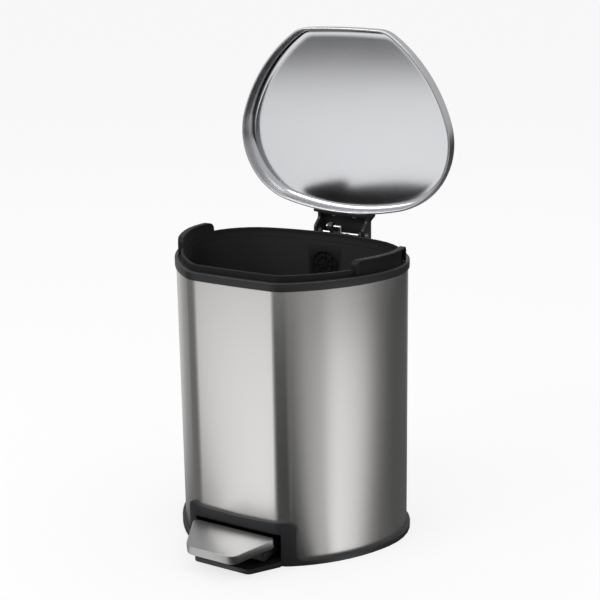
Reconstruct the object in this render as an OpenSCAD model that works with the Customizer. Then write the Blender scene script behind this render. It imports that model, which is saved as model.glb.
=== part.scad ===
// Pedal trash can: steel body on a moulded base, lift-out bucket, hinged lid and foot pedal.
// Front faces -Y, +Z is up, and the origin is on the floor in the middle of the body.
// The lid is drawn open and the pedal pressed, the way the linkage holds them together.

/* [Body] */
// Width of the steel body at its widest place
body_width = 242; // [236:1:280]
// Depth of the steel body from front to rear
body_depth = 189; // [170:1:220]
// Width of the front where its corners are roundest
front_width = 135.5; // [130:0.5:160]
// Radius of the nearly flat front
front_radius = 870; // [500:10:1500]
// Radius of each bulging side
side_radius = 162; // [150:1:200]
// Radius of the rear
rear_radius = 275; // [240:1:350]
// Radius of the front corners
front_corner = 28; // [22:1:34]
// Radius of the rear corners
rear_corner = 71; // [60:1:78]
// Thickness of the steel sheet
sheet = 0.8; // [0.5:0.1:1.2]
// Height of the top edge of the steel body
body_top = 281; // [230:1:340]
// Depth of the bottom groove that holds the steel body
groove_depth = 1.5; // [1:0.1:2]

/* [Top ring] */
// Height of the ring outside
ring_height = 8.2; // [7:0.1:12]
// How far the ring covers the edge of the steel body
ring_cover = 5; // [3:0.1:6]
// How far the ring stands out from the body
ring_proud = 1.4; // [1:0.1:3]
// Width of the flat top of the ring
ring_land = 4.3; // [3.6:0.1:5]
// Step down to the seat of the bucket
seat_drop = 2.6; // [2.4:0.1:4]
// Width of the seat of the bucket
seat_width = 5.3; // [4.6:0.1:5.6]

/* [Base] */
// Height of the rim round the foot of the body
rim_height = 5; // [4:0.1:8]
// How far the rim stands out from the body
rim_flare = 3.7; // [2.5:0.1:5]
// Wall of the moulded base
base_wall = 2.5; // [2:0.1:3]
// Height of the deck under the bucket
deck_height = 39; // [37:0.5:46]
// Half width of the surround of the pedal opening
surround_half = 62.5; // [58:0.5:66]
// Height of the surround at its middle
surround_top = 43.5; // [42:0.5:50]
// Rise of the surround towards its corners
surround_rise = 3; // [0:0.5:5]
// Half width of the pedal opening
opening_half = 49.5; // [46:0.5:51]
// Top of the pedal opening
opening_top = 33; // [32:0.5:36]
// Reach of the foot plate in front of the body
foot_reach = 32; // [24:1:40]
// Half width of the front edge of the foot plate
foot_half = 31; // [25:1:38]
// Thickness of the plate that closes the base
plate_thickness = 2.2; // [1.8:0.1:3]
// Radius of the anti-slip pads
pad_radius = 9; // [6:0.5:12]

/* [Pedal] */
// Place of the lever pivot in front of the middle
pivot_y = -30; // [-40:1:-22]
// Height of the lever pivot
pivot_z = 20; // [19:0.5:22]
// Radius of the lever pin
lever_pin_radius = 3; // [2:0.5:4]
// Thickness of the lever
lever_thickness = 8; // [6:0.5:9]
// Gap between the pedal and the surround, front to rear
pedal_gap = 3.3; // [3:0.1:6]
// Height of the rear edge of the pedal
pedal_top = 31.6; // [30:0.1:33]
// Length of the pedal
pedal_length = 46; // [40:1:55]
// Half width of the pedal at the rear
pedal_rear_half = 48.5; // [44:0.5:52]
// Half width of the pedal at the front
pedal_front_half = 27; // [22:0.5:34]
// Depth of the steel rim of the pedal
pedal_skirt = 9; // [7:0.5:10]
// Slope of the pedal towards the front
pedal_slope = 6.8; // [4:0.1:9]

/* [Hinge] */
// Distance of the hinge axis behind the rear edge of the lid
hinge_behind = 21; // [19:0.5:25]
// Height of the hinge axis below the top of the ring
hinge_drop = 1.7; // [1:0.1:2.5]
// Radius of the hinge pin
hinge_pin_radius = 2; // [1.5:0.1:2.5]
// Half width of the bracket at the hinge axis
bracket_half = 30; // [28:0.5:34]
// Half width of the bracket at the lid
bracket_flare = 35; // [32:0.5:40]
// Wall of the bracket
bracket_wall = 3; // [2.5:0.1:3.5]
// Height and distance of the rod eye from the hinge axis
crank_reach = 9; // [8:0.5:10]
// Half the distance between the two rivets
rivet_half = 12; // [8:0.5:16]

/* [Lid] */
// Angle of the lid from closed to open
lid_angle = 90; // [80:1:92]
// How far the lid stands out from the body
lid_proud = 2.5; // [2:0.1:4]
// Gap between the closed lid and the ring
lid_gap = 0.5; // [0.3:0.1:1.5]
// Height of the straight part of the lid's side
lid_skirt = 9.7; // [8:0.1:14]
// Radius of the lid's edge
lid_edge = 8; // [5:0.5:10]
// Width and height of the rolled hem
hem = 2.6; // [2:0.1:3]

/* [Bucket] */
// Wall of the bucket
bucket_wall = 1.5; // [1.2:0.1:2]
// Height of the lip above the top of the ring
lip_height = 5.8; // [4:0.1:7]
// Width of the lip
lip_width = 2.3; // [1.8:0.1:3]
// Gap between the lip and the land of the ring
lip_gap = 2.3; // [1.5:0.1:3]
// How much the bucket wall draws in from top to bottom
bucket_taper = 7.5; // [4:0.5:12]
// Height of the lifting grips above the lip
grip_height = 9; // [6:0.5:10]
// Front end of the lifting grips
grip_front = -36; // [-45:1:-25]
// Rear end of the lifting grips
grip_rear = 40; // [25:1:45]

/* [Rod] */
// Radius of the steel rod
rod_radius = 1.5; // [1.2:0.1:1.8]
// Place of the rod to the right of the middle
rod_x = 4; // [4:0.1:4.5]
// Distance of the rod in front of the rear of the body
rod_inset = 6.5; // [6:0.1:7]

/* [Fits] */
// Radial gap between a pin and its hole
pin_gap = 0.05; // [0.02:0.01:0.1]
// Gap between pieces that slide past each other
slide_gap = 0.4; // [0.3:0.05:0.6]
// Gap round the steel sheet in its grooves
sheet_gap = 0.15; // [0.1:0.01:0.25]

/* [Hidden] */
$fn = 48;
small_step = 0.01;

// heights and places worked out from the sizes above
body_bottom = rim_height - groove_depth;
ring_bottom = body_top - ring_cover;
ring_top = ring_bottom + ring_height;
seat_top = ring_top - seat_drop;
seat_inner = ring_proud - ring_land - seat_width;
front_y = -body_depth / 2;
rear_y = body_depth / 2;
deck_thickness = 2;
deck_inner = -sheet - slide_gap;
hinge_y = rear_y + lid_proud + hinge_behind;
hinge_z = ring_top - hinge_drop;
hem_z = ring_top + lid_gap;
lid_top = hem_z + lid_skirt + lid_edge;
rivet_z = hem_z + lid_skirt / 2 + 0.2;
rod_y = rear_y - rod_inset;
eye_y = hinge_y - crank_reach;
eye_z = hinge_z + crank_reach;
rod_travel = 2 * crank_reach;
rear_arm = rod_y - pivot_y;
lever_swing = asin(rod_travel / rear_arm);
pedal_rear_y = front_y - rim_flare - pedal_gap;

// lips, steps and offsets of the bucket, counted inwards from the steel body
flange_edge = ring_proud - ring_land - 0.5;
lip_outer = ring_proud - ring_land - lip_gap;
lip_inner = lip_outer - lip_width;
lip_top = ring_top + lip_height;
grip_top = lip_top + grip_height;
bucket_top_edge = seat_inner - 1.3;
bucket_foot_edge = bucket_top_edge - bucket_taper;

// ---- outline of the body: five tangent arcs on each side ----
front_centre = [0, front_y + front_radius];
rear_centre = [0, rear_y - rear_radius];
front_corner_x = front_width / 2 - front_corner;
rear_corner_x = body_width / 2 - rear_corner;
front_corner_centre = [front_corner_x,
    front_centre[1] - sqrt(pow(front_radius - front_corner, 2) - pow(front_corner_x, 2))];
rear_corner_centre = [rear_corner_x,
    rear_centre[1] + sqrt(pow(rear_radius - rear_corner, 2) - pow(rear_corner_x, 2))];

// the point r1 from c1 and r2 from c2 that lies to the left of both
function meet(c1, r1, c2, r2) =
    let (d = norm(c2 - c1), a = (r1 * r1 - r2 * r2 + d * d) / (2 * d), h = sqrt(r1 * r1 - a * a))
    let (u = (c2 - c1) / d, p = c1 + a * u, q = p + h * [-u[1], u[0]], s = p - h * [-u[1], u[0]])
    q[0] < s[0] ? q : s;
function heading(from, to) = atan2(to[1] - from[1], to[0] - from[0]);
function arc(c, r, a0, a1, n, first = 0) =
    [for (i = [first:n]) let (a = a0 + (a1 - a0) * i / n) c + r * [cos(a), sin(a)]];

side_centre = meet(front_corner_centre, side_radius - front_corner, rear_corner_centre, side_radius - rear_corner);
turn_front = heading(front_centre, front_corner_centre);
turn_side = heading(side_centre, front_corner_centre);
turn_back = heading(side_centre, rear_corner_centre);
turn_rear = heading(rear_centre, rear_corner_centre);

// the right half from the front middle to the rear middle, t outside the steel body
function half_outline(t) = concat(
    arc(front_centre, front_radius + t, -90, turn_front, 3),
    arc(front_corner_centre, front_corner + t, turn_front, turn_side, 8, 1),
    arc(side_centre, side_radius + t, turn_side, turn_back, 9, 1),
    arc(rear_corner_centre, rear_corner + t, turn_back, turn_rear, 10, 1),
    arc(rear_centre, rear_radius + t, turn_rear, 90, 6, 1));
function outline(t) =
    let (h = half_outline(t), n = len(h))
    concat(h, [for (i = [n - 2:-1:1]) [-h[i][0], h[i][1]]]);

// points of a polygon whose corners are rounded, each by its own radius
function unit(v) = v / norm(v);
function turn_between(a, b) = (b - a > 180) ? b - a - 360 : (b - a < -180) ? b - a + 360 : b - a;
function corner(a, b, c, r, n) =
    let (u = unit(a - b), v = unit(c - b), half = acos(u * v) / 2, m = b + unit(u + v) * r / sin(half))
    let (s = b + u * r / tan(half), e = b + v * r / tan(half), from = heading(m, s))
    arc(m, r, from, from + turn_between(from, heading(m, e)), n);
function rounded(p, r, n = 6) =
    [for (i = [0:len(p) - 1]) each (r[i] == 0 ? [p[i]]
        : corner(p[(i + len(p) - 1) % len(p)], p[i], p[(i + 1) % len(p)], r[i], n))];

module slab(t, z0, z1) {
    translate([0, 0, z0]) linear_extrude(z1 - z0) polygon(outline(t));
}

module band(outer, inner, z0, z1) {
    translate([0, 0, z0])
        linear_extrude(z1 - z0)
            difference() {
                polygon(outline(outer));
                polygon(outline(inner));
            }
}

// a thin-walled vessel: its section runs from the middle of the underside to the middle of the top
module vessel(section) {
    rings = [for (s = section) outline(s[0])];
    n = len(rings[0]);
    last = len(section) - 1;
    points = [for (k = [0:last]) for (p = rings[k]) [p[0], p[1], section[k][1]]];
    walls = [for (k = [0:last - 1]) for (i = [0:n - 1])
        [k * n + i, (k + 1) * n + i, (k + 1) * n + (i + 1) % n, k * n + (i + 1) % n]];
    foot = [for (i = [0:n - 1]) i];
    roof = [for (i = [n - 1:-1:0]) last * n + i];
    polyhedron(points, concat([foot], walls, [roof]), convexity = 6);
}

// shapes drawn in a side view (y, z) and given a thickness along x
module across(x0, x1) {
    translate([x0, 0, 0]) rotate([90, 0, 90]) linear_extrude(x1 - x0) children();
}

// shapes drawn in a front view (x, z) and given a depth along y
module along(y0, y1) {
    translate([0, y1, 0]) rotate([90, 0, 0]) linear_extrude(y1 - y0) children();
}

module rod_between(a, b, r) {
    v = b - a;
    translate(a) rotate([0, acos(v[2] / norm(v)), atan2(v[1], v[0])]) cylinder(h = norm(v), r = r);
}

module both_sides() {
    children();
    mirror([1, 0, 0]) children();
}

// moves pieces drawn with the lid closed to the open lid
module on_open_lid() {
    translate([0, hinge_y, hinge_z]) rotate([-lid_angle, 0, 0]) translate([0, -hinge_y, -hinge_z]) children();
}

// moves pieces drawn on a level lever to the pressed lever
module on_pressed_lever() {
    translate([0, pivot_y, pivot_z]) rotate([lever_swing / 2, 0, 0]) children();
}

// places pieces on the sloping top of the pedal, its rear edge at the origin
module on_pedal() {
    translate([0, pedal_rear_y, pedal_top]) rotate([pedal_slope, 0, 0]) children();
}

// ---- steel body ----
slot_half = 3;
slot_low = -rod_travel - 6;
slot_high = 6;
rod_bend = 31;
rod_shift = eye_y - rod_y;
rod_slope_low = eye_z - rod_shift - rod_bend + 8.5;
rod_slope_high = rod_slope_low + rod_shift;
slot_z = rod_slope_low + rod_inset;
cut_half = surround_half - 4.5;
cut_top = surround_top - 3.5;

// the window in the steel behind the surround, made smaller by inset
module window_shape(inset) {
    half = cut_half - inset;
    polygon(rounded([[-half, 0], [half, 0], [half, cut_top - inset], [-half, cut_top - inset]],
        [0, 0, 5 - inset, 5 - inset]));
}

module body_shell() {
    color("#bfc0c2")
        difference() {
            band(0, -sheet, body_bottom, body_top);
            along(front_y - 10, front_y + body_depth / 3) window_shape(0);
            translate([rod_x - slot_half, rear_y - 10, slot_z + slot_low])
                cube([2 * slot_half, 20, slot_high - slot_low]);
            both_sides() translate([screw_x, 0, housing_screw_z]) rotate([-90, 0, 0])
                cylinder(h = body_depth, r = housing_screw_r + pin_gap);
        }
}

// ---- top ring ----
ring_skirt = 6;

module top_ring() {
    land_inner = ring_proud - ring_land;
    color("#26272b")
        difference() {
            union() {
                band(ring_proud, land_inner, ring_bottom, ring_top);
                band(land_inner + small_step, seat_inner, seat_top - 2, seat_top);
                band(land_inner + small_step, land_inner - 1.5, ring_bottom - ring_skirt, seat_top);
            }
            band(sheet_gap, -sheet - sheet_gap, ring_bottom - 1, body_top);
        }
}

// ---- base ----
boss_places = [[72, -34], [78, 52]];
boss_radius = 4.5;
base_screw_r = 1.4;
pad_places = [[84, 10], [34, 72], [52, -66]];
pad_depth = 1;
plate_edge = -4.3;
foot_corner = 7;

module surround_shape(half, middle, rise, foot) {
    polygon(concat(
        rounded([[half + foot, 0], [half + foot, rim_height], [half, rim_height], [half, middle + rise],
            [half - 22, middle + rise / 3], [0, middle], [-half + 22, middle + rise / 3], [-half, middle + rise],
            [-half, rim_height], [-half - foot, rim_height], [-half - foot, 0]],
            [0, 0, foot * 0.9, 9, 25, 60, 25, 9, foot * 0.9, 0, 0])));
}

module base_housing() {
    color("#26272b")
        difference() {
            union() {
                band(rim_flare, plate_edge + 0.3, 0, rim_height);
                band(deck_inner, deck_inner - base_wall, rim_height - 1, deck_height);
                slab(deck_inner - 1, deck_height - deck_thickness, deck_height);
                intersection() {
                    band(rim_flare, sheet_gap, 1, surround_top + 10);
                    along(front_y - 20, front_y + body_depth / 3)
                        surround_shape(surround_half, surround_top, surround_rise, 8);
                }
                intersection() {
                    band(rim_flare - 1, deck_inner - 1, 1, surround_top + 10);
                    along(front_y - 20, front_y + body_depth / 3) window_shape(0.4);
                }
                linear_extrude(rim_height)
                    polygon(rounded([[-opening_half, front_y + 2], [-opening_half, front_y - rim_flare],
                        [-foot_half, front_y - foot_reach], [foot_half, front_y - foot_reach],
                        [opening_half, front_y - rim_flare], [opening_half, front_y + 2]],
                        [0, 0, foot_corner, foot_corner, 0, 0]));
                both_sides() for (p = boss_places)
                    translate([p[0], p[1], plate_thickness]) cylinder(h = deck_height - plate_thickness - 1, r = boss_radius);
            }
            difference() {
                band(sheet_gap, -sheet - sheet_gap, body_bottom, rim_height + 1);
                translate([-cut_half, front_y - 5, 0]) cube([2 * cut_half, 40, 60]);
            }
            along(front_y - 20, front_y + body_depth / 6)
                translate([-opening_half, rim_height])
                    square([2 * opening_half, opening_top - rim_height]);
            both_sides() for (p = boss_places)
                translate([p[0], p[1], 0]) cylinder(h = 14, r = base_screw_r + pin_gap);
            // a slot in the deck for the rod, and a bay in the rear wall for the end of the lever
            translate([rod_x - 5, rod_y - 4, deck_height - 10])
                cube([10, 4 + rod_inset + deck_inner - base_wall, 20]);
            translate([tab_left - 3.5, rod_y + 2, rim_height])
                cube([rod_x - tab_left + 7, 10, deck_height - deck_thickness - rim_height]);
        }
}

bracket_screw_x = 39;
bracket_screw_dy = 6;
bracket_screw_r = 1.5;
head_height = 1.6;
head_radius = 3;

module base_plate() {
    color("#2b2c30")
        difference() {
            slab(plate_edge, 0, plate_thickness);
            both_sides() for (p = boss_places) translate([p[0], p[1], -1]) {
                cylinder(h = 1 + head_height, r = head_radius + 0.3);
                cylinder(h = 10, r = base_screw_r + pin_gap);
            }
            both_sides() for (p = pad_places)
                translate([p[0], p[1], -1]) cylinder(h = 1 + pad_depth, r = pad_radius + 0.2);
            both_sides() for (s = [-1, 1])
                translate([bracket_screw_x, pivot_y + s * bracket_screw_dy, 0.5])
                    cylinder(h = 10, r = bracket_screw_r + pin_gap);
        }
}

module base_pads() {
    color("#3a3a3c")
        both_sides() for (p = pad_places) translate([p[0], p[1], 0]) cylinder(h = pad_depth, r = pad_radius);
}

module base_screws() {
    color("#8c8f94")
        both_sides() for (p = boss_places) translate([p[0], p[1], 0]) difference() {
            union() {
                translate([0, 0, 0.3]) cylinder(h = head_height - 0.3, r = head_radius);
                translate([0, 0, 0.3]) cylinder(h = 11.5, r = base_screw_r);
            }
            translate([-0.4, -2, 0]) cube([0.8, 4, 0.9]);
            translate([-2, -0.4, 0]) cube([4, 0.8, 0.9]);
        }
}

// ---- lever and its bearing ----
ear_inner = 27;
ear_outer = 31;
barrel_radius = 8;
strip_half = 45;
strip_depth = 22;
strip_thickness = 2.8;
pin_half = 34;

module lever_bracket() {
    color("#33353a")
        difference() {
            union() {
                translate([-strip_half, pivot_y - strip_depth / 2, plate_thickness])
                    cube([2 * strip_half, strip_depth, strip_thickness]);
                both_sides() across(ear_inner, ear_outer) {
                    translate([pivot_y, pivot_z]) circle(r = barrel_radius);
                    translate([pivot_y - barrel_radius, plate_thickness])
                        square([2 * barrel_radius, pivot_z - plate_thickness]);
                }
            }
            across(-pin_half, pin_half) translate([pivot_y, pivot_z]) circle(r = lever_pin_radius + pin_gap);
            both_sides() for (s = [-1, 1])
                translate([bracket_screw_x, pivot_y + s * bracket_screw_dy, 0])
                    cylinder(h = 10, r = bracket_screw_r + pin_gap);
            // room under the lever, so that its barrel turns free
            translate([-ear_inner, pivot_y - barrel_radius - 1, plate_thickness + 1.2])
                cube([2 * ear_inner, 2 * barrel_radius + 2, 10]);
        }
}

module lever_bracket_screws() {
    top = plate_thickness + strip_thickness;
    color("#8c8f94")
        both_sides() for (s = [-1, 1])
            translate([bracket_screw_x, pivot_y + s * bracket_screw_dy, 0]) difference() {
                union() {
                    translate([0, 0, top]) cylinder(h = head_height, r = head_radius);
                    translate([0, 0, 0.8]) cylinder(h = top, r = bracket_screw_r);
                }
                translate([-0.4, -2, top + head_height - 0.8]) cube([0.8, 4, 2]);
                translate([-2, -0.4, top + head_height - 0.8]) cube([4, 0.8, 2]);
            }
}

module lever_pin() {
    color("#a9abae") across(-pin_half, pin_half) translate([pivot_y, pivot_z]) circle(r = lever_pin_radius);
}

module lever_pin_clips() {
    color("#777a7e")
        both_sides() across(ear_outer + 0.3, ear_outer + 1.3) translate([pivot_y, pivot_z]) difference() {
            circle(r = lever_pin_radius * 2);
            circle(r = lever_pin_radius + 0.02);
            translate([-0.8, 0]) square([1.6, 10]);
        }
}

buffer_y = front_y + 14;

module pedal_buffer() {
    drop = (pivot_y - buffer_y + 4) * tan(lever_swing / 2) + lever_thickness / 2 / cos(lever_swing / 2);
    color("#1c1c1e")
        translate([-12, buffer_y - 4, plate_thickness])
            cube([24, 8, pivot_z - drop - 0.3 - plate_thickness]);
}

neck_half = 40;
tab_left = -7;
tab_right = 2;
tab_length = 18;
tab_reach = rod_inset - sheet - 0.9;
frame_depth = 7;
cap_sheet = 1;
riser_front = 14;

pedal_lean = (pedal_rear_half - pedal_front_half) / pedal_length;
pedal_side = sqrt(1 + pedal_lean * pedal_lean);

// outline of the pedal, its rear edge on the X axis, drawn in by inset
function pedal_points(inset) =
    let (rear = pedal_rear_half - inset * (pedal_side + pedal_lean))
    let (front = pedal_front_half - inset * (pedal_side - pedal_lean))
    rounded([[-rear, -inset], [-front, -pedal_length + inset], [front, -pedal_length + inset], [rear, -inset]],
        [4 - inset, 11 - inset, 11 - inset, 4 - inset]);

module lever_beam() {
    reach = pivot_y - (pedal_rear_y - riser_front + 3);
    on_pressed_lever()
        translate([0, 0, -lever_thickness / 2])
            linear_extrude(lever_thickness)
                polygon([[-neck_half, -reach], [neck_half, -reach], [neck_half, -reach + 26], [26, -14], [26, 12],
                    [9, 44], [tab_right + 5, rear_arm - tab_length - 4], [tab_right, rear_arm - tab_length + 2],
                    [tab_right, rear_arm + tab_reach], [tab_left, rear_arm + tab_reach], [tab_left, rear_arm - tab_length + 2],
                    [-9, 44], [-26, 12], [-26, -14], [-neck_half, -reach + 26]]);
}

module pedal_lever() {
    riser_rear = pedal_rear_y - 0.2;
    skirt_low = pedal_top - pedal_skirt - 0.4;
    low = pivot_z - (pivot_y - riser_rear) * tan(lever_swing / 2) - lever_thickness / 2;
    color("#26272b")
        difference() {
            union() {
                lever_beam();
                on_pressed_lever() rotate([90, 0, 90]) translate([0, 0, -25]) cylinder(h = 50, r = barrel_radius);
                across(-neck_half + 1, neck_half - 1)
                    polygon([[riser_rear, low], [riser_rear, skirt_low], [riser_rear - 1.2, skirt_low],
                        [riser_rear - 1.2, pedal_top - 5], [riser_rear - riser_front, pedal_top - 5],
                        [riser_rear - riser_front, low + 2], [riser_rear - riser_front + 4, low - 0.9]]);
                on_pedal() translate([0, 0, -cap_sheet - frame_depth])
                    linear_extrude(frame_depth) polygon(pedal_points(cap_sheet + 0.15));
            }
            across(-pin_half, pin_half) translate([pivot_y, pivot_z]) circle(r = lever_pin_radius + pin_gap);
            across(tab_left - 1, tab_right + 1) translate([rod_y, pivot_z + crank_reach]) circle(r = rod_radius + 0.6);
            on_pedal() both_sides() translate([24, -24, -cap_sheet - frame_depth - 1])
                cylinder(h = 6, r = 1.6);
        }
}

module pedal_cap() {
    color("#c9cacc")
        on_pedal() difference() {
            translate([0, 0, -pedal_skirt]) linear_extrude(pedal_skirt) polygon(pedal_points(0));
            translate([0, 0, -pedal_skirt - 1]) linear_extrude(pedal_skirt + 1 - cap_sheet)
                polygon(pedal_points(cap_sheet));
        }
}

module pedal_screws() {
    color("#8c8f94")
        on_pedal() both_sides() translate([24, -24, -cap_sheet - frame_depth]) {
            translate([0, 0, -1.4]) cylinder(h = 1.4, r = head_radius);
            translate([0, 0, -1.4]) cylinder(h = 5.4, r = 1.55);
        }
}

// ---- rod ----
leg_end = -16;
rod_route = [[leg_end + 5, rod_y, pivot_z + crank_reach], [rod_x, rod_y, pivot_z + crank_reach],
    [rod_x, rod_y, rod_slope_low], [rod_x, eye_y, rod_slope_high], [rod_x, eye_y, eye_z],
    [leg_end + 4, eye_y, eye_z]];

module push_rod() {
    color("#c4c6c8") {
        for (i = [0:len(rod_route) - 2]) rod_between(rod_route[i], rod_route[i + 1], rod_radius);
        for (i = [1:len(rod_route) - 2]) translate(rod_route[i]) sphere(r = rod_radius);
    }
}

module rod_clips() {
    color("#777a7e") {
        across(leg_end + 5.5, leg_end + 6.5) translate([eye_y, eye_z]) clip_ring();
        across(tab_left - 1.6, tab_left - 0.6) translate([rod_y, pivot_z + crank_reach]) clip_ring();
    }
}

module clip_ring() {
    difference() {
        circle(r = rod_radius * 2);
        circle(r = rod_radius + 0.02);
    }
}

guide_heights = [64, 205];

module rod_guides() {
    color("#33353a")
        for (z = guide_heights) difference() {
            intersection() {
                translate([rod_x - 6, rod_y - 3, z]) cube([12, 3 + rod_inset, 12]);
                slab(-sheet - 0.25, z - 1, z + 13);
            }
            translate([rod_x, rod_y, z - 1]) cylinder(h = 14, r = rod_radius + 0.1);
        }
}

// ---- hinge ----
knuckle_outer = bracket_half - bracket_wall - 0.5;
knuckle_width = 4;
knuckle_radius = 4.5;
block_top = hinge_z - 7.3;
block_bottom = slot_z + slot_low - 5;
block_half = 31;
block_rear = hinge_y + 6;
pocket_left = -17;
pocket_right = 10;
flange_half = 45;
flange_thickness = 3;
screw_x = 38;
housing_screw_r = 1.6;
housing_screw_z = block_bottom + 23;
screw_seat_y = rear_centre[1] + sqrt(pow(rear_radius, 2) - pow(screw_x, 2)) + flange_thickness - 0.2;

module hinge_housing() {
    color("#26272b")
        difference() {
            union() {
                across(-block_half, block_half)
                    polygon(rounded([[rear_y - 8, block_bottom], [rear_y + 4, block_bottom],
                        [block_rear, block_bottom + 22], [block_rear, block_top], [rear_y - 8, block_top]],
                        [0, 3, 8, 2, 0]));
                intersection() {
                    band(flange_thickness, 0, block_bottom + 8, block_top - 4);
                    along(0, rear_y + 20)
                        polygon(rounded([[-flange_half, block_bottom + 8], [flange_half, block_bottom + 8],
                            [flange_half, block_bottom + 38], [-flange_half, block_bottom + 38]], [6, 6, 6, 6]));
                }
                both_sides() across(knuckle_outer - knuckle_width, knuckle_outer) {
                    translate([hinge_y, hinge_z]) circle(r = knuckle_radius);
                    translate([hinge_y - knuckle_radius, block_top - 4])
                        square([2 * knuckle_radius, hinge_z - block_top + 4]);
                }
            }
            slab(0.1, 0, ring_bottom - 0.3);
            slab(ring_proud + 0.1, ring_bottom - 0.5, ring_top + 20);
            translate([pocket_left, rear_y - 20, block_bottom + 3])
                cube([pocket_right - pocket_left, 21 + hinge_y - rear_y, 100]);
            across(-bracket_half, bracket_half) translate([hinge_y, hinge_z]) circle(r = hinge_pin_radius + pin_gap);
            both_sides() translate([screw_x, 0, housing_screw_z]) rotate([-90, 0, 0])
                cylinder(h = body_depth, r = housing_screw_r + pin_gap);
            // flat seats for the screw heads on the curved flanges
            both_sides() translate([screw_x, screw_seat_y, housing_screw_z]) rotate([-90, 0, 0])
                cylinder(h = 10, r = head_radius + 0.4);
        }
}

module housing_screws() {
    color("#8c8f94")
        both_sides() translate([screw_x, screw_seat_y, housing_screw_z]) rotate([-90, 0, 0]) difference() {
            union() {
                cylinder(h = head_height, r = head_radius);
                translate([0, 0, -flange_thickness - 3]) cylinder(h = flange_thickness + 3.1, r = housing_screw_r);
            }
            translate([-0.4, -2, head_height - 0.8]) cube([0.8, 4, 2]);
            translate([-2, -0.4, head_height - 0.8]) cube([4, 0.8, 2]);
        }
}

module hinge_pin() {
    color("#c4c6c8")
        across(-bracket_half - 2.4, bracket_half + 2.4) translate([hinge_y, hinge_z]) circle(r = hinge_pin_radius);
}

module hinge_pin_clips() {
    color("#777a7e")
        both_sides() across(bracket_half + 0.5, bracket_half + 1.4) translate([hinge_y, hinge_z]) difference() {
            circle(r = hinge_pin_radius * 2);
            circle(r = hinge_pin_radius + 0.02);
        }
}

// the bracket is drawn with the lid closed: open underneath, its crank hanging at the front
cover_top = hem_z + lid_skirt;
cover_thickness = 2;
rib_left = -8.5;
rib_right = -4.5;
eye_near = crank_reach;
eye_far = crank_reach * sqrt(2);
eye_room = rod_radius + 0.9;
rivet_radius = 1.4;

module cover_shape() {
    lid_line = rear_y + lid_proud - 4;
    polygon(rounded([[-bracket_flare, lid_line], [-bracket_flare, lid_line + 5], [-bracket_half, lid_line + 11],
        [-bracket_half, hinge_y + 6], [bracket_half, hinge_y + 6], [bracket_half, lid_line + 11],
        [bracket_flare, lid_line + 5], [bracket_flare, lid_line]], [0, 2, 5, 5, 5, 5, 2, 0]));
}

module side_shape() {
    lid_line = rear_y + lid_proud - 4;
    polygon(rounded([[lid_line, hem_z + 1.2], [hinge_y - 14, hem_z + 1.2], [hinge_y - 7, hinge_z - 5.5],
        [hinge_y + 5.5, hinge_z - 5.5], [hinge_y + 5.5, cover_top], [lid_line, cover_top]],
        [0, 4, 3, 5, 2, 0]));
}

module crank_shape() {
    reach = eye_far + 4;
    circle(r = 5);
    rotate(225) translate([0, -4.5]) square([reach - 4.5, 9]);
    rotate(225) translate([reach - 4.5, 0]) circle(r = 4.5);
    translate([-5, 0]) square([9, cover_top - hinge_z - 1]);
    rotate(225) translate([0, -4.5]) square([4, 9]);
}

module hinge_bracket() {
    color("#202125")
        on_open_lid() difference() {
            union() {
                translate([0, 0, cover_top - cover_thickness]) linear_extrude(cover_thickness) cover_shape();
                intersection() {
                    band(lid_proud + bracket_wall, lid_proud, hem_z + 1.2, cover_top);
                    translate([0, 0, hem_z]) linear_extrude(lid_skirt) cover_shape();
                }
                both_sides() across(bracket_half - bracket_wall, bracket_half) side_shape();
                across(rib_left, rib_right) translate([hinge_y, hinge_z]) crank_shape();
            }
            slab(lid_proud + 0.03, 0, lid_top + 5);
            across(-bracket_half - 1, bracket_half + 1)
                translate([hinge_y, hinge_z]) circle(r = hinge_pin_radius + pin_gap);
            across(rib_left - 1, rib_right + 1) translate([hinge_y, hinge_z]) rotate(225) {
                translate([eye_near, 0]) circle(r = eye_room);
                translate([eye_far, 0]) circle(r = eye_room);
                translate([eye_near, -eye_room]) square([eye_far - eye_near, 2 * eye_room]);
            }
            for (s = [-1, 1]) translate([s * rivet_half, 0, rivet_z]) rotate([-90, 0, 0])
                cylinder(h = body_depth, r = rivet_radius + pin_gap);
        }
}

module bracket_rivets() {
    inside = rear_y + lid_proud - sheet - 0.5;
    length = sheet + bracket_wall + 0.6;
    color("#6d7074")
        on_open_lid() for (s = [-1, 1]) translate([s * rivet_half, inside, rivet_z]) rotate([-90, 0, 0]) {
            cylinder(h = length, r = rivet_radius);
            translate([0, 0, -1]) cylinder(h = 1, r = 2.1);
            translate([0, 0, length]) cylinder(h = 1, r = 2.1);
        }
}

// ---- lid ----
function lid_section() =
    let (inner_edge = lid_edge - sheet, t0 = lid_proud - lid_edge, z0 = lid_top - lid_edge)
    concat(
        [for (i = [6:-1:0]) let (a = i * 15) [t0 + inner_edge * cos(a), z0 + inner_edge * sin(a)]],
        [[lid_proud - sheet, hem_z + hem], [lid_proud - hem + 0.5, hem_z + hem],
            [lid_proud - hem, hem_z + hem - 0.7], [lid_proud - hem, hem_z + 0.7], [lid_proud - hem + 0.7, hem_z],
            [lid_proud - 0.7, hem_z], [lid_proud, hem_z + 0.7]],
        [for (i = [0:6]) let (a = i * 15) [t0 + lid_edge * cos(a), z0 + lid_edge * sin(a)]]);

module lid_pan() {
    color("#c9cacc")
        on_open_lid() difference() {
            vessel(lid_section());
            for (s = [-1, 1]) translate([s * rivet_half, 0, rivet_z]) rotate([-90, 0, 0])
                cylinder(h = body_depth, r = rivet_radius + 0.1, $fn = 24);
        }
}

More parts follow.
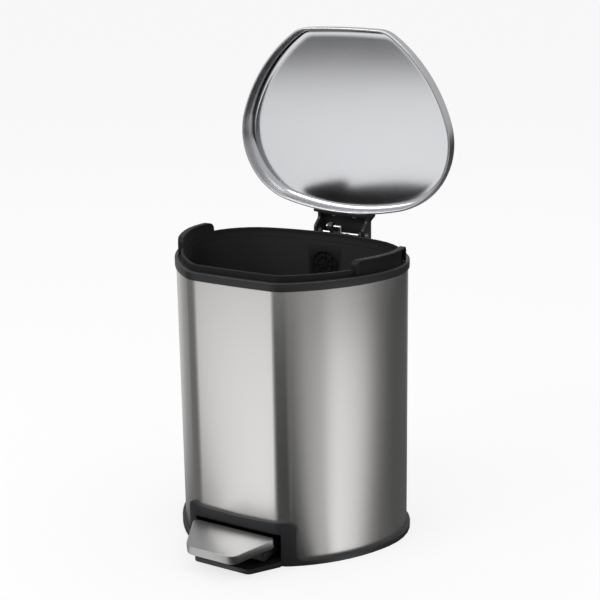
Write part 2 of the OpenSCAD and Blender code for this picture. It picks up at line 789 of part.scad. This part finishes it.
// ---- bucket ----
function bucket_section() =
    let (foot = deck_height + 0.3, top = seat_top - 2, e = bucket_foot_edge, w = bucket_wall)
    [[e - 5, foot], [e - 1.6, foot + 1], [e, foot + 4.5], [bucket_top_edge, top],
        [bucket_top_edge, seat_top], [flange_edge, seat_top], [flange_edge, ring_top - 0.6],
        [lip_outer, ring_top - 0.6], [lip_outer, lip_top - 0.6], [lip_outer - 0.6, lip_top],
        [lip_inner + 0.6, lip_top], [lip_inner, lip_top - 0.6], [lip_inner, ring_top],
        [bucket_top_edge - w, top - 1], [e - w, foot + 5], [e - w - 1.4, foot + 2.4],
        [e - w - 4, foot + w]];

rosette_z = 257;
rosette_radius = 15;

module grip() {
    fold = 1.8;
    ends = grip_rear - grip_front;
    outer = ring_proud - 3;
    intersection() {
        union() {
            band(lip_outer, lip_inner, ring_top - 1, grip_top);
            band(outer, lip_inner, grip_top - fold, grip_top);
            intersection() {
                band(outer, lip_inner, ring_top + slide_gap, grip_top);
                for (y = [grip_front, grip_rear - fold * 1.4])
                    translate([0, y, 0]) cube([body_width, fold * 1.4, grip_top]);
            }
        }
        across(0, body_width)
            polygon(rounded([[grip_front, 0], [grip_rear, 0], [grip_rear, grip_top], [grip_front, grip_top]],
                [0, 0, 6, 6]));
    }
}

module rosette() {
    wall_t = bucket_top_edge - bucket_wall - (seat_top - rosette_z) / (seat_top - deck_height) * bucket_taper;
    along(rear_y + wall_t - 1.1, rear_y + wall_t + 0.9) translate([0, rosette_z]) {
        for (r = [rosette_radius, 9.5]) difference() {
            circle(r = r);
            circle(r = r - 1.6);
        }
        circle(r = 3.5);
        for (a = [0:45:135]) rotate(a) square([2 * rosette_radius - 2, 1.2], center = true);
    }
}

module inner_bucket() {
    color("#1f2024") {
        vessel(bucket_section());
        both_sides() grip();
        rosette();
    }
}

body_shell();
top_ring();
base_housing();
base_plate();
base_pads();
base_screws();
lever_bracket();
lever_bracket_screws();
lever_pin();
lever_pin_clips();
pedal_buffer();
pedal_lever();
pedal_cap();
pedal_screws();
push_rod();
rod_clips();
rod_guides();
hinge_housing();
housing_screws();
hinge_pin();
hinge_pin_clips();
hinge_bracket();
bracket_rivets();
lid_pan();
inner_bucket();
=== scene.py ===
import bpy
import math
from mathutils import Matrix, Vector


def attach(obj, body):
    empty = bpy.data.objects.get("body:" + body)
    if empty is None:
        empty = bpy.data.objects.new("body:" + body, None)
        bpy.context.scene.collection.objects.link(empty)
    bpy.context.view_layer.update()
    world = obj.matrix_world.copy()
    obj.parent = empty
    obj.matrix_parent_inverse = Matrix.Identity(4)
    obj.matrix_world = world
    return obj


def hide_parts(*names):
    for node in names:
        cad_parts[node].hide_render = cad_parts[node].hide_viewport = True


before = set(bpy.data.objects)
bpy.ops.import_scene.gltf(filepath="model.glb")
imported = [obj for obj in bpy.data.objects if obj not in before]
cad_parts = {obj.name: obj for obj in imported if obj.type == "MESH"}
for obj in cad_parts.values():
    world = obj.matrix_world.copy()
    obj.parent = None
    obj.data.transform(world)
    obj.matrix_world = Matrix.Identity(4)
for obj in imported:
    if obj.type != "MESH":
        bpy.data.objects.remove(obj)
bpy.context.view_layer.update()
mm = 0.001
print("frame loaded")

# ---- camera ----
camera = {"place": (0.69524, -1.14063, 0.61744), "turn": 30.69, "tilt": 15.84, "roll": -0.85, "lens": 83.3}


def addCamera(settings):
    turn, tilt, roll = (math.radians(settings[k]) for k in ("turn", "tilt", "roll"))
    ahead = Vector((-math.sin(turn) * math.cos(tilt), math.cos(turn) * math.cos(tilt), -math.sin(tilt)))
    right = Vector((math.cos(turn), math.sin(turn), 0))
    up = right.cross(ahead)
    rolledRight = right * math.cos(roll) + up * math.sin(roll)
    rolledUp = up * math.cos(roll) - right * math.sin(roll)
    bpy.ops.object.camera_add()
    made = bpy.context.object
    made.matrix_world = Matrix.Translation(settings["place"]) @ Matrix((rolledRight, rolledUp, -ahead)).transposed().to_4x4()
    made.data.lens = settings["lens"]
    made.data.sensor_width = 36
    bpy.context.scene.camera = made


addCamera(camera)
bpy.context.scene.view_settings.view_transform = "Standard"


# ---- nodes and their sums ----
class Wire:
    def __init__(self, tree, socket):
        self.tree, self.socket = tree, socket

    def sum(self, operation, first, second):
        return addNode(self.tree, "ShaderNodeMath", {"operation": operation}, {0: first, 1: second})

    def __add__(self, other):
        return self.sum("ADD", self, other)

    def __radd__(self, other):
        return self.sum("ADD", other, self)

    def __sub__(self, other):
        return self.sum("SUBTRACT", self, other)

    def __rsub__(self, other):
        return self.sum("SUBTRACT", other, self)

    def __mul__(self, other):
        return self.sum("MULTIPLY", self, other)

    def __rmul__(self, other):
        return self.sum("MULTIPLY", other, self)

    def __pow__(self, other):
        return self.sum("POWER", self, other)


def addNode(tree, kind, settings, inputs, output=0):
    node = tree.nodes.new(kind)
    for key, value in settings.items():
        if key == "stops":
            ramp = node.color_ramp
            while len(ramp.elements) > 1:
                ramp.elements.remove(ramp.elements[-1])
            for number, (place, level) in enumerate(value):
                stop = ramp.elements[0] if number == 0 else ramp.elements.new(place)
                stop.position = place
                stop.color = (level, level, level, 1)
        else:
            setattr(node, key, value)
    for key, value in inputs.items():
        if isinstance(value, Wire):
            tree.links.new(value.socket, node.inputs[key])
        else:
            node.inputs[key].default_value = value
    return Wire(tree, node.outputs[output]) if len(node.outputs) else node


def colour(level, tint=(1, 1, 1)):
    return (level * tint[0], level * tint[1], level * tint[2], 1)


# ---- materials ----
def surface(name, settings):
    made = bpy.data.materials.new(name)
    made.use_nodes = True
    tree = made.node_tree
    tree.nodes.clear()
    place = addNode(tree, "ShaderNodeTexCoord", {}, {}, "Object")
    stretched = addNode(tree, "ShaderNodeMapping", {}, {"Vector": place, "Scale": settings["stretch"]})
    grain = addNode(tree, "ShaderNodeTexNoise", {}, {"Vector": stretched, "Scale": 1.0, "Detail": settings["detail"],
                                                     "Roughness": 0.65})
    cloud = addNode(tree, "ShaderNodeTexNoise", {}, {"Vector": place, "Scale": settings["cloud"], "Detail": 2.0})
    shade = addNode(tree, "ShaderNodeMix", {"data_type": "RGBA"},
                    {0: grain * (1 - settings["smudge"]) + cloud * settings["smudge"],
                     6: settings["dark"], 7: settings["light"]}, 2)
    rough = (grain - 0.5) * settings["grainRough"] + (cloud - 0.5) * settings["cloudRough"] + settings["rough"]
    if "rimAt" in settings:  # the side of the lid is duller than its panel
        depth = addNode(tree, "ShaderNodeSeparateXYZ", {}, {0: place}, "Y")
        rim = addNode(tree, "ShaderNodeMapRange", {}, {"Value": depth, "From Min": settings["rimAt"],
                                                       "From Max": settings["rimAt"] + 0.002, "To Min": 1.0, "To Max": 0.0})
        rough = rough + rim * settings["rimRough"]
    normal = addNode(tree, "ShaderNodeBump", {}, {"Strength": settings["bump"], "Distance": settings["depth"],
                                                  "Height": grain})
    shader = addNode(tree, "ShaderNodeBsdfPrincipled", {},
                     {"Base Color": shade, "Roughness": rough, "Metallic": settings["metal"], "Normal": normal,
                      "Coat Weight": settings.get("coat", 0.0), "Coat Roughness": 0.15,
                      "Specular IOR Level": settings.get("gloss", 0.5), "Anisotropic": settings.get("brushed", 0.0), "Anisotropic Rotation": 0.25})
    addNode(tree, "ShaderNodeOutputMaterial", {}, {"Surface": shader})
    return made


finishes = {
    "brushedBody": {"stretch": (14, 14, 2600), "detail": 3.0, "cloud": 9.0, "smudge": 0.3, "dark": colour(0.66, (1, 0.985, 0.97)),
                    "light": colour(0.78, (1, 0.985, 0.97)), "rough": 0.23, "grainRough": 0.1, "cloudRough": 0.04,
                    "bump": 0.05, "depth": 0.0002, "metal": 1.0, "brushed": 0.8},
    "satinLid": {"stretch": (14, 1400, 2600), "detail": 3.0, "cloud": 12.0, "smudge": 0.3, "dark": colour(0.66, (0.965, 0.97, 1)),
                 "light": colour(0.76, (0.965, 0.97, 1)), "rough": 0.12, "grainRough": 0.04, "cloudRough": 0.05,
                 "bump": 0.006, "depth": 0.0002, "metal": 1.0, "rimAt": 0.1345, "rimRough": 0.22},
    "satinPedal": {"stretch": (30, 2200, 2200), "detail": 3.0, "cloud": 20.0, "smudge": 0.3, "dark": colour(0.4),
                   "light": colour(0.5), "rough": 0.36, "grainRough": 0.1, "cloudRough": 0.06,
                   "bump": 0.12, "depth": 0.0002, "metal": 1.0},
    "blackMoulding": {"stretch": (1500, 1500, 1500), "detail": 3.0, "cloud": 14.0, "smudge": 0.5,
                      "dark": colour(0.009, (0.95, 1, 1.12)), "light": colour(0.02, (0.95, 1, 1.12)), "rough": 0.42,
                      "grainRough": 0.12, "cloudRough": 0.12, "bump": 0.16, "depth": 0.0002, "metal": 0.0},
    "bucketPlastic": {"stretch": (1300, 1300, 1300), "detail": 3.0, "cloud": 10.0, "smudge": 0.5,
                      "dark": colour(0.003, (0.95, 1, 1.08)), "light": colour(0.008, (0.95, 1, 1.08)), "rough": 0.55,
                      "grainRough": 0.1, "cloudRough": 0.12, "bump": 0.14, "depth": 0.0002, "metal": 0.0, "gloss": 0.3},
    "darkBracket": {"stretch": (1100, 1100, 1100), "detail": 2.0, "cloud": 30.0, "smudge": 0.4,
                    "dark": colour(0.012), "light": colour(0.026), "rough": 0.3, "grainRough": 0.1,
                    "cloudRough": 0.12, "bump": 0.1, "depth": 0.0002, "metal": 0.0},
    "underPlastic": {"stretch": (900, 900, 900), "detail": 3.0, "cloud": 12.0, "smudge": 0.5, "dark": colour(0.02),
                     "light": colour(0.045), "rough": 0.55, "grainRough": 0.1, "cloudRough": 0.12, "bump": 0.2,
                     "depth": 0.0002, "metal": 0.0},
    "polishedRod": {"stretch": (1800, 1800, 60), "detail": 2.0, "cloud": 60.0, "smudge": 0.4, "dark": colour(0.6),
                    "light": colour(0.78), "rough": 0.2, "grainRough": 0.12, "cloudRough": 0.1, "bump": 0.08,
                    "depth": 0.0001, "metal": 1.0},
    "zincFastener": {"stretch": (1600, 1600, 1600), "detail": 2.0, "cloud": 90.0, "smudge": 0.4, "dark": colour(0.36),
                     "light": colour(0.52), "rough": 0.36, "grainRough": 0.15, "cloudRough": 0.15, "bump": 0.12,
                     "depth": 0.0001, "metal": 1.0},
    "rubber": {"stretch": (1200, 1200, 1200), "detail": 4.0, "cloud": 40.0, "smudge": 0.5, "dark": colour(0.018),
               "light": colour(0.04), "rough": 0.8, "grainRough": 0.1, "cloudRough": 0.1, "bump": 0.3,
               "depth": 0.0002, "metal": 0.0},
}
materials = {name: surface(name, settings) for name, settings in finishes.items()}
print("materials made")


def dress(piece, finish):
    if len(piece.data.materials):
        for number in range(len(piece.data.materials)):
            piece.data.materials[number] = materials[finish]
    else:
        piece.data.materials.append(materials[finish])


# ---- modelling helpers ----
def clearAll():
    if bpy.context.object and bpy.context.object.mode == "EDIT":
        bpy.ops.object.mode_set(mode="OBJECT")
    bpy.ops.object.select_all(action="DESELECT")


def work(piece):
    clearAll()
    bpy.context.view_layer.objects.active = piece
    piece.select_set(True)


def pick(piece, kind, test):
    bpy.ops.object.mode_set(mode="EDIT")
    bpy.ops.mesh.select_mode(type=kind)
    bpy.ops.mesh.select_all(action="DESELECT")
    bpy.ops.object.mode_set(mode="OBJECT")
    mesh = piece.data
    items = {"VERT": mesh.vertices, "EDGE": mesh.edges, "FACE": mesh.polygons}[kind]
    for item in items:
        item.select = bool(test(item))
    bpy.ops.object.mode_set(mode="EDIT")


def settle(piece, doubles=1e-6):
    bpy.ops.object.mode_set(mode="EDIT")
    bpy.ops.mesh.select_all(action="SELECT")
    bpy.ops.mesh.remove_doubles(threshold=doubles)
    bpy.ops.mesh.normals_make_consistent(inside=False)
    bpy.ops.object.mode_set(mode="OBJECT")


def modify(piece, kind, **settings):
    work(piece)
    modifier = piece.modifiers.new(kind.title(), kind)
    for key, value in settings.items():
        setattr(modifier, key, value)
    bpy.ops.object.modifier_apply(modifier=modifier.name)


def smooth(piece, degrees=35):
    work(piece)
    bpy.ops.object.shade_smooth_by_angle(angle=math.radians(degrees))


# ---- the outline of the body: five tangent arcs on each side ----
body = {"front": -94.5, "rear": 94.5, "frontRadius": 870, "rearRadius": 275, "sideRadius": 162,
        "frontCorner": 28, "rearCorner": 71, "frontCornerX": 39.75, "rearCornerX": 50}


def arcCentres(o):
    frontCentre = Vector((0, o["front"] + o["frontRadius"]))
    rearCentre = Vector((0, o["rear"] - o["rearRadius"]))
    frontCorner = Vector((o["frontCornerX"], frontCentre.y - math.sqrt((o["frontRadius"] - o["frontCorner"]) ** 2
                                                                         - o["frontCornerX"] ** 2)))
    rearCorner = Vector((o["rearCornerX"], rearCentre.y + math.sqrt((o["rearRadius"] - o["rearCorner"]) ** 2
                                                                      - o["rearCornerX"] ** 2)))
    near, far = o["sideRadius"] - o["frontCorner"], o["sideRadius"] - o["rearCorner"]
    apart = (rearCorner - frontCorner).length
    along = (near ** 2 - far ** 2 + apart ** 2) / (2 * apart)
    across = math.sqrt(near ** 2 - along ** 2)
    way = (rearCorner - frontCorner) / apart
    side = frontCorner + way * along + Vector((-way.y, way.x)) * across
    return [frontCentre, frontCorner, side, rearCorner, rearCentre]


def turnsOf(centres):
    front, frontCorner, side, rearCorner, rear = centres
    angle = lambda a, b: math.atan2(b.y - a.y, b.x - a.x)
    return [-math.pi / 2, angle(front, frontCorner), angle(side, frontCorner), angle(side, rearCorner),
            angle(rear, rearCorner), math.pi / 2]


centres = arcCentres(body)
turns = turnsOf(centres)
steps = [6, 16, 22, 20, 12]


def drawSection(name, points):
    clearAll()
    places = [Vector((0, (body["front"] - out) * mm, up * mm)) for out, up in points]
    bpy.ops.mesh.primitive_plane_add(size=0.001, location=places[0])
    piece = bpy.context.object
    piece.name = name
    bpy.ops.object.transform_apply(location=True)
    bpy.ops.object.mode_set(mode="EDIT")
    bpy.ops.mesh.select_mode(type="VERT")
    bpy.ops.mesh.select_all(action="SELECT")
    bpy.ops.mesh.merge(type="CENTER")
    for before, after in zip(places, places[1:]):
        bpy.ops.mesh.extrude_region_move(TRANSFORM_OT_translate={"value": after - before})
    bpy.ops.mesh.select_all(action="SELECT")
    bpy.ops.mesh.remove_doubles(threshold=1e-6)
    return piece


def spinOutline(piece):
    for centre, start, end, count in zip(centres, turns, turns[1:], steps):
        bpy.ops.mesh.spin(steps=count, angle=start - end, center=(centre.x * mm, centre.y * mm, 0), axis=(0, 0, 1))
    bpy.ops.object.mode_set(mode="OBJECT")
    for vertex in piece.data.vertices:
        if abs(vertex.co.x) < 2e-5:
            vertex.co.x = 0
    modify(piece, "MIRROR", use_axis=(True, False, False), use_mirror_merge=True, merge_threshold=2e-5)
    return piece


def roundedSection(points):
    out = []
    count = len(points)
    for number, (t, z, radius) in enumerate(points):
        here = Vector((t, z))
        if not radius:
            out.append((t, z))
            continue
        back = (Vector(points[number - 1][:2]) - here).normalized()
        on = (Vector(points[(number + 1) % count][:2]) - here).normalized()
        half = back.angle(on) / 2
        middle = here + (back + on).normalized() * radius / math.sin(half)
        first = here + back * radius / math.tan(half) - middle
        last = here + on * radius / math.tan(half) - middle
        sweep = first.angle_signed(last)
        n = 4
        for i in range(n + 1):
            a = -sweep * i / n
            out.append((middle.x + first.x * math.cos(a) - first.y * math.sin(a),
                        middle.y + first.x * math.sin(a) + first.y * math.cos(a)))
    return out


def closed(points):
    return points + points[:1]


# ---- steel body ----
shell = {"sheet": 0.8, "bottom": 3.5, "top": 281, "windowHalf": 58, "windowTop": 40, "windowCorner": 5,
         "slotX": 4, "slotHalf": 3, "slotLow": 238.5, "slotHigh": 268.5}


def makeBody(s):
    piece = drawSection("steel_body", closed(roundedSection([(0, s["bottom"], 0.25), (0, s["top"], 0.25),
                                                             (-s["sheet"], s["top"], 0.25), (-s["sheet"], s["bottom"], 0.25)])))
    spinOutline(piece)
    settle(piece)
    clearAll()
    high = s["windowTop"] + 20
    bpy.ops.mesh.primitive_cube_add(size=1, location=(0, body["front"] * mm + 0.02, (s["windowTop"] - high / 2) * mm),
                                    scale=(2 * s["windowHalf"] * mm, 0.09, high * mm))
    cutter = bpy.context.object
    bpy.ops.object.transform_apply(location=True, scale=True)
    pick(cutter, "EDGE", lambda e: all(cutter.data.vertices[v].co.z > 0.03 for v in e.vertices)
         and abs(cutter.data.vertices[e.vertices[0]].co.x - cutter.data.vertices[e.vertices[1]].co.x) < 1e-5)
    bpy.ops.mesh.bevel(offset=s["windowCorner"] * mm, segments=6)
    bpy.ops.object.mode_set(mode="OBJECT")
    modify(piece, "BOOLEAN", operation="DIFFERENCE", object=cutter, solver="EXACT")
    bpy.data.objects.remove(cutter)
    smooth(piece, 30)
    dress(piece, "brushedBody")
    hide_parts("body_shell")
    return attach(piece, "base")


makeBody(shell)
print("steel body made")

# ---- top ring ----
ring = {"low": 276, "top": 284.2, "proud": 1.4, "land": -2.9, "seat": 281.6, "seatInner": -8.2, "skirt": 270}


def makeRing(s):
    inner = s["land"]
    section = [(s["proud"], s["low"], 0.4), (s["proud"], s["top"], 1.2), (inner, s["top"], 0.5), (inner, s["seat"], 0),
               (s["seatInner"], s["seat"], 0.4), (s["seatInner"], s["seat"] - 2, 0.4), (inner - 1.5, s["seat"] - 2, 0.3),
               (inner - 1.5, s["skirt"], 0.3), (inner, s["skirt"], 0.3), (inner, 281.05, 0), (0.15, 281.05, 0), (0.15, s["low"], 0)]
    piece = spinOutline(drawSection("top_ring_moulding", closed(roundedSection(section))))
    settle(piece)
    smooth(piece, 40)
    dress(piece, "blackMoulding")
    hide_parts("top_ring")
    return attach(piece, "base")


makeRing(ring)
print("top ring made")

# ---- lid ----
lid = {"proud": 2.5, "hem": 284.7, "hemSize": 2.6, "skirt": 9.7, "edge": 8, "sheet": 0.8, "hingeY": 118, "hingeZ": 282.5}


def makeLid(s):
    top = s["hem"] + s["skirt"] + s["edge"]
    middle = (s["proud"] - s["edge"], top - s["edge"])
    turned = lambda r, n: [(middle[0] + r * math.cos(math.radians(i * 90 / n)), middle[1] + r * math.sin(math.radians(i * 90 / n)))
                           for i in range(n + 1)]
    roll = s["hemSize"] / 2
    hemMiddle = (s["proud"] - roll, s["hem"] + roll)
    hem = [(hemMiddle[0] + roll * math.cos(math.radians(a)), hemMiddle[1] + roll * math.sin(math.radians(a)))
           for a in range(100, 361, 20)]
    section = turned(s["edge"] - s["sheet"], 12)[::-1] + [(s["proud"] - s["sheet"], s["hem"] + s["hemSize"] + 0.6)] + hem + turned(s["edge"], 12)
    piece = spinOutline(drawSection("lid_pressing", section))
    for level in (top, top - s["sheet"]):
        pick(piece, "VERT", lambda v: abs(v.co.z - level * mm) < 1e-6)
        bpy.ops.mesh.edge_face_add()
        bpy.ops.mesh.inset(thickness=0.004)
        bpy.ops.object.mode_set(mode="OBJECT")
    settle(piece)
    pick(piece, "VERT", lambda v: True)
    bpy.ops.transform.rotate(value=math.radians(90), orient_axis="X", center_override=(0, s["hingeY"] * mm, s["hingeZ"] * mm))
    bpy.ops.object.mode_set(mode="OBJECT")
    smooth(piece, 35)
    dress(piece, "satinLid")
    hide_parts("lid_pan")
    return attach(piece, "lid")


makeLid(lid)
print("lid made")

# ---- mouldings that start from a copy of their CAD node ----
copies = {
    "base_housing": {"name": "base_moulding", "finish": "blackMoulding", "slot": "black_plastic", "round": 0.9, "ride": "base"},
    "hinge_housing": {"name": "hinge_moulding", "finish": "blackMoulding", "slot": "black_plastic", "round": 0.5, "ride": "base"},
    "hinge_bracket": {"name": "lid_bracket", "finish": "darkBracket", "slot": "black_plastic", "round": 0.35, "ride": "lid"},
    "inner_bucket": {"name": "lift_out_bucket", "finish": "bucketPlastic", "slot": "bucket_plastic", "round": 0.4, "ride": "bucket"},
    "pedal_lever": {"name": "lever_moulding", "finish": "blackMoulding", "slot": "black_plastic", "round": 0.5, "ride": "pedal"},
    "pedal_cap": {"name": "pedal_plate", "finish": "satinPedal", "slot": "pedal_steel", "round": 0.45, "ride": "pedal"},
}


def roundCopy(node, s):
    clearAll()
    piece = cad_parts[node].copy()
    piece.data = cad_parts[node].data.copy()
    for key in list(piece.keys()):
        del piece[key]
    piece.parent = None
    piece.name = s["name"]
    bpy.context.scene.collection.objects.link(piece)
    work(piece)
    bpy.ops.object.mode_set(mode="EDIT")
    bpy.ops.mesh.select_all(action="SELECT")
    bpy.ops.mesh.remove_doubles(threshold=1e-6)
    bpy.ops.mesh.dissolve_limited(angle_limit=math.radians(1))
    bpy.ops.mesh.normals_make_consistent(inside=False)
    bpy.ops.object.mode_set(mode="OBJECT")
    modify(piece, "BEVEL", width=s["round"] * mm, segments=3, limit_method="ANGLE", angle_limit=math.radians(35),
           use_clamp_overlap=True, harden_normals=False)
    smooth(piece, 35)
    dress(piece, s["finish"])
    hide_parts(node)
    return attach(piece, s["ride"])


for node, settings in copies.items():
    roundCopy(node, settings)
print("mouldings made")

# ---- finishes of the nodes that stay ----
kept = {"base_plate": "underPlastic", "base_pads": "rubber", "base_screws": "zincFastener",
        "lever_bracket": "underPlastic", "lever_bracket_screws": "zincFastener", "lever_pin": "polishedRod",
        "lever_pin_clips": "zincFastener", "pedal_buffer": "rubber", "pedal_screws": "zincFastener",
        "push_rod": "polishedRod", "rod_clips": "zincFastener", "rod_guides": "underPlastic",
        "housing_screws": "zincFastener", "hinge_pin": "polishedRod", "hinge_pin_clips": "zincFastener",
        "bracket_rivets": "zincFastener"}
for node, finish in kept.items():
    dress(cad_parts[node], finish)
print("kept nodes finished")

# ---- floor, surroundings and light ----
studio = {"plain": 0.85, "sky": 0.55,
          # painted reflection: to glossy rays the floor glows white out to a little way off and dark beyond it, a dark
          # room painted in for the steel to mirror
          "sweep": [(0, 1), (2.2, 1), (3.1, 0.16), (8, 0.12)], "sweepEnd": 10, "sweepMiddle": (-0.9, -0.9, 0),
          "paintedReflectionMiddle": (0.05, -0.045, 0),
          # painted reflection: how bright the floor glows to glossy rays in each direction, from -180 to 180 degrees
          # round the bin, set to paint the dark and bright bands on the steel
          "round": [(-180, 0.18), (-150, 0.15), (-139, 0.4), (-131, 0.9), (-124, 1.0), (-113, 1.05), (-107, 0.4),
                    (-98, 0.05), (-60, 0.04), (-50, 0.16), (-39, 0.42), (-27, 0.58), (-21, 0.85), (-14, 1.0),
                    (-3, 0.9), (5, 0.75), (12, 0.5), (19, 0.26), (27, 0.13), (40, 0.09), (84, 0.1), (98, 0.4),
                    (120, 0.62), (150, 0.62), (165, 0.35), (180, 0.18)]}


# painted reflection: the floor's glow for glossy rays, by direction round the bin
def paintedReflectionLevel(tree, direction, s):
    parts = tree.nodes.new("ShaderNodeSeparateXYZ")
    tree.links.new(direction.socket, parts.inputs[0])
    x, y = Wire(tree, parts.outputs[0]), Wire(tree, parts.outputs[1])
    turn = x.sum("ARCTAN2", y, x) * (0.5 / math.pi) + 0.5
    stops = [((angle + 180) / 360, level) for angle, level in s["round"]]
    return addNode(tree, "ShaderNodeValToRGB", {"stops": stops}, {0: turn})


def makeWorld(s):
    world = bpy.data.worlds.new("studio")
    bpy.context.scene.world = world
    world.use_nodes = True
    tree = world.node_tree
    tree.nodes.clear()
    path = tree.nodes.new("ShaderNodeLightPath")
    seen = Wire(tree, path.outputs["Is Camera Ray"])
    glossy = Wire(tree, path.outputs["Is Glossy Ray"])
    through = Wire(tree, path.outputs["Is Transmission Ray"])
    strength = seen + through + glossy * s["sky"] + (1 - (seen + through + glossy)) * s["plain"]
    back = addNode(tree, "ShaderNodeBackground", {}, {"Color": (1, 1, 1, 1), "Strength": strength})
    addNode(tree, "ShaderNodeOutputWorld", {}, {"Surface": back})


def makeFloor(s):
    clearAll()
    bpy.ops.mesh.primitive_plane_add(size=90, location=(0, 0, 0))
    floor = bpy.context.object
    floor.name = "studio_floor"
    made = bpy.data.materials.new("paleFloorPaintedReflection")
    made.use_nodes = True
    tree = made.node_tree
    tree.nodes.clear()
    path = tree.nodes.new("ShaderNodeLightPath")
    seen = Wire(tree, path.outputs["Is Camera Ray"])
    glossy = Wire(tree, path.outputs["Is Glossy Ray"])
    through = Wire(tree, path.outputs["Is Transmission Ray"])
    direction = addNode(tree, "ShaderNodeTexCoord", {}, {}, "Object")
    fromCorner = addNode(tree, "ShaderNodeVectorMath", {"operation": "SUBTRACT"}, {0: direction, 1: s["paintedReflectionMiddle"]})
    fromMiddle = addNode(tree, "ShaderNodeVectorMath", {"operation": "SUBTRACT"}, {0: direction, 1: s["sweepMiddle"]})
    away = addNode(tree, "ShaderNodeVectorMath", {"operation": "LENGTH"}, {0: fromMiddle}, "Value")
    stops = [(distance / s["sweepEnd"], level) for distance, level in s["sweep"]]
    # painted reflection: glossy rays see the floor glow at this level, by direction and distance, which paints the
    # bands on the steel; camera rays see an even pale floor with the shadow kept
    level = paintedReflectionLevel(tree, fromCorner, s) * addNode(tree, "ShaderNodeValToRGB", {"stops": stops}, {0: away * (1 / s["sweepEnd"])})
    matt = addNode(tree, "ShaderNodeBsdfDiffuse", {}, {"Color": (0.86, 0.86, 0.86, 1)})
    glow = addNode(tree, "ShaderNodeEmission", {}, {"Color": (1, 1, 1, 1), "Strength": seen + through + glossy * level})
    mixed = addNode(tree, "ShaderNodeMixShader", {}, {0: seen * 0.75 + through * 0.75 + glossy, 1: matt, 2: glow})
    addNode(tree, "ShaderNodeOutputMaterial", {}, {"Surface": mixed})
    floor.data.materials.append(made)


def addLamp(place, aim, size, power):
    clearAll()
    bpy.ops.object.light_add(type="AREA", location=place)
    lamp = bpy.context.object
    lamp.rotation_mode = "QUATERNION"
    lamp.rotation_quaternion = (Vector(aim) - Vector(place)).to_track_quat("-Z", "Y")
    lamp.data.shape = "RECTANGLE"
    lamp.data.size, lamp.data.size_y = size
    lamp.data.energy = power
    return lamp


makeWorld(studio)
makeFloor(studio)
addLamp((-0.9, -1.2, 1.6), (0, 0, 0.25), (0.9, 0.9), 9)
addLamp((0.3, 0.2, 2.0), (0, 0, 0.3), (1.2, 1.2), 7)
print("studio made")
